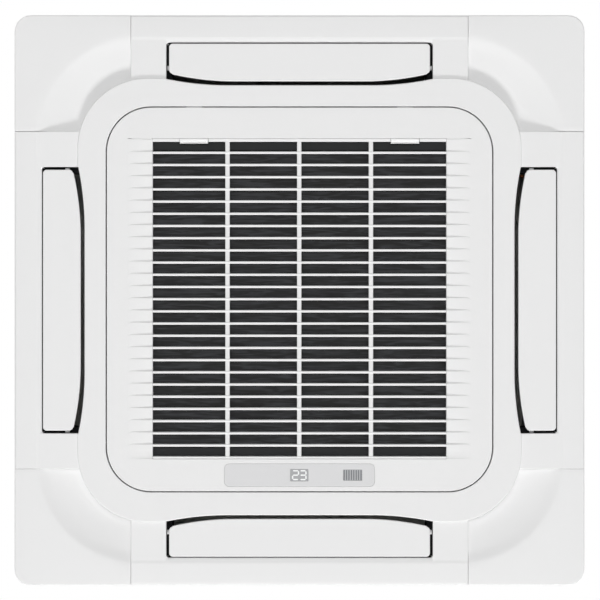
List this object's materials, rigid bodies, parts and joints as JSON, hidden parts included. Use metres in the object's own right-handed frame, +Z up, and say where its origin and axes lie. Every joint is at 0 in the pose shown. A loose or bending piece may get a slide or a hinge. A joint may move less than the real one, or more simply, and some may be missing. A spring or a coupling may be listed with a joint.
{
  "type": "ceiling cassette air conditioner",
  "caption": "Square four-way ceiling cassette air conditioner: white panel with intake grille, air vanes and scooped corner covers below, clipped-corner steel body with fan and coil above.",
  "frame": {"origin": "centre of the panel in the ceiling's lower plane, where the panel's rim rests", "axes": "+Z up as installed, towards the body; +Y towards the display side of the grille; +X towards the pipe side"},
  "size_m": [0.95, 0.95, 0.293],
  "materials": {
    "panel_plastic": "moulded ABS, fine satin texture",
    "vane_plastic": "moulded ABS, satin",
    "latch_plastic": "moulded ABS, semi-gloss",
    "lens_plastic": "smooth milky acrylic",
    "digit_window": "smoked acrylic window",
    "receiver_window": "smoked acrylic window with ribs",
    "dark_plastic": "moulded polypropylene, matt",
    "filter_net": "fine polypropylene net",
    "galvanised_steel": "galvanised sheet, faint spangle",
    "white_foam": "moulded expanded polystyrene, beaded",
    "dark_foam": "closed-cell foam strip",
    "fin_aluminium": "thin fins, bright",
    "copper_tube": "drawn copper tube, slightly dull",
    "brass_nut": "turned brass",
    "grey_plastic": "moulded ABS, satin grey",
    "motor_case": "black enamelled steel",
    "white_fitting": "moulded ABS, smooth",
    "black_rubber": "moulded rubber",
    "circuit_board": "green solder mask with parts"
  },
  "bodies": {
    "housing": {"corner_cover_front_right": "panel_plastic", "hanger_bracket_front_right": "galvanised_steel", "corner_cover_front_left": "panel_plastic", "hanger_bracket_front_left": "galvanised_steel", "corner_cover_back_left": "panel_plastic", "hanger_bracket_back_left": "galvanised_steel", "corner_cover_back_right": "panel_plastic", "hanger_bracket_back_right": "galvanised_steel", "vane_motor_front": "white_fitting", "casing_side_front": "galvanised_steel", "vane_motor_left": "white_fitting", "casing_side_left": "galvanised_steel", "vane_motor_back": "white_fitting", "casing_side_back": "galvanised_steel", "vane_motor_right": "white_fitting", "casing_side_right": "galvanised_steel", "panel_frame": "panel_plastic", "hinge_pin_left": "galvanised_steel", "hinge_pin_right": "galvanised_steel", "panel_seal": "dark_foam", "casing_top": "galvanised_steel", "insulation_liner": "white_foam", "drain_pan": "white_foam", "drain_plug": "black_rubber", "heat_exchanger": "fin_aluminium", "coil_end_right": "copper_tube", "coil_end_back": "copper_tube", "gas_header": "copper_tube", "liquid_pipe": "copper_tube", "flare_nut_gas": "brass_nut", "flare_nut_liquid": "brass_nut", "pipe_cover_plate": "galvanised_steel", "bell_mouth": "grey_plastic", "fan_motor": "motor_case", "drain_pump": "white_fitting", "drain_hose": "grey_plastic", "drain_spout": "white_fitting", "float_stem": "dark_plastic", "control_box": "galvanised_steel", "control_box_lid": "galvanised_steel", "main_board": "circuit_board", "cable_grommet": "black_rubber", "fresh_air_cover": "galvanised_steel"},
    "grille_door": {"intake_grille": "panel_plastic", "display_lens": "lens_plastic", "digit_window": "digit_window", "receiver_window": "receiver_window", "display_housing": "circuit_board", "filter_frame": "dark_plastic", "filter_net": "filter_net"},
    "latch_left": {"latch_left": "latch_plastic"},
    "latch_right": {"latch_right": "latch_plastic"},
    "vane_front": {"vane_front": "vane_plastic"},
    "vane_left": {"vane_left": "vane_plastic"},
    "vane_back": {"vane_back": "vane_plastic"},
    "vane_right": {"vane_right": "vane_plastic"},
    "fan": {"fan_wheel": "grey_plastic", "fan_shaft": "galvanised_steel", "fan_nut": "brass_nut"},
    "pump_float": {"float_ring": "white_fitting"}
  },
  "joints": [
    {"name": "grille_hinge", "type": "hinge", "parent": "housing", "child": "grille_door", "pos_m": [0, 0.3005, -0.027], "axis": [1, 0, 0], "range_deg": [0, 90]},
    {"name": "latch_left_slide", "type": "slide", "parent": "grille_door", "child": "latch_left", "axis": [0, 1, 0], "range_m": [0, 0.008], "stiffness_N_per_m": 150},
    {"name": "latch_right_slide", "type": "slide", "parent": "grille_door", "child": "latch_right", "axis": [0, 1, 0], "range_m": [0, 0.008], "stiffness_N_per_m": 150},
    {"name": "vane_front_hinge", "type": "hinge", "parent": "housing", "child": "vane_front", "pos_m": [0, 0.388, -0.012], "axis": [-1, 0, 0], "range_deg": [0, 55]},
    {"name": "vane_left_hinge", "type": "hinge", "parent": "housing", "child": "vane_left", "pos_m": [-0.388, 0, -0.012], "axis": [0, -1, 0], "range_deg": [0, 55]},
    {"name": "vane_back_hinge", "type": "hinge", "parent": "housing", "child": "vane_back", "pos_m": [0, -0.388, -0.012], "axis": [1, 0, 0], "range_deg": [0, 55]},
    {"name": "vane_right_hinge", "type": "hinge", "parent": "housing", "child": "vane_right", "pos_m": [0.388, 0, -0.012], "axis": [0, 1, 0], "range_deg": [0, 55]},
    {"name": "fan_spin", "type": "hinge", "parent": "housing", "child": "fan", "pos_m": [0, 0, 0.19], "axis": [0, 0, 1], "continuous": true},
    {"name": "float_rise", "type": "slide", "parent": "housing", "child": "pump_float", "axis": [0, 0, 1], "range_m": [0, 0.012]}
  ]
}
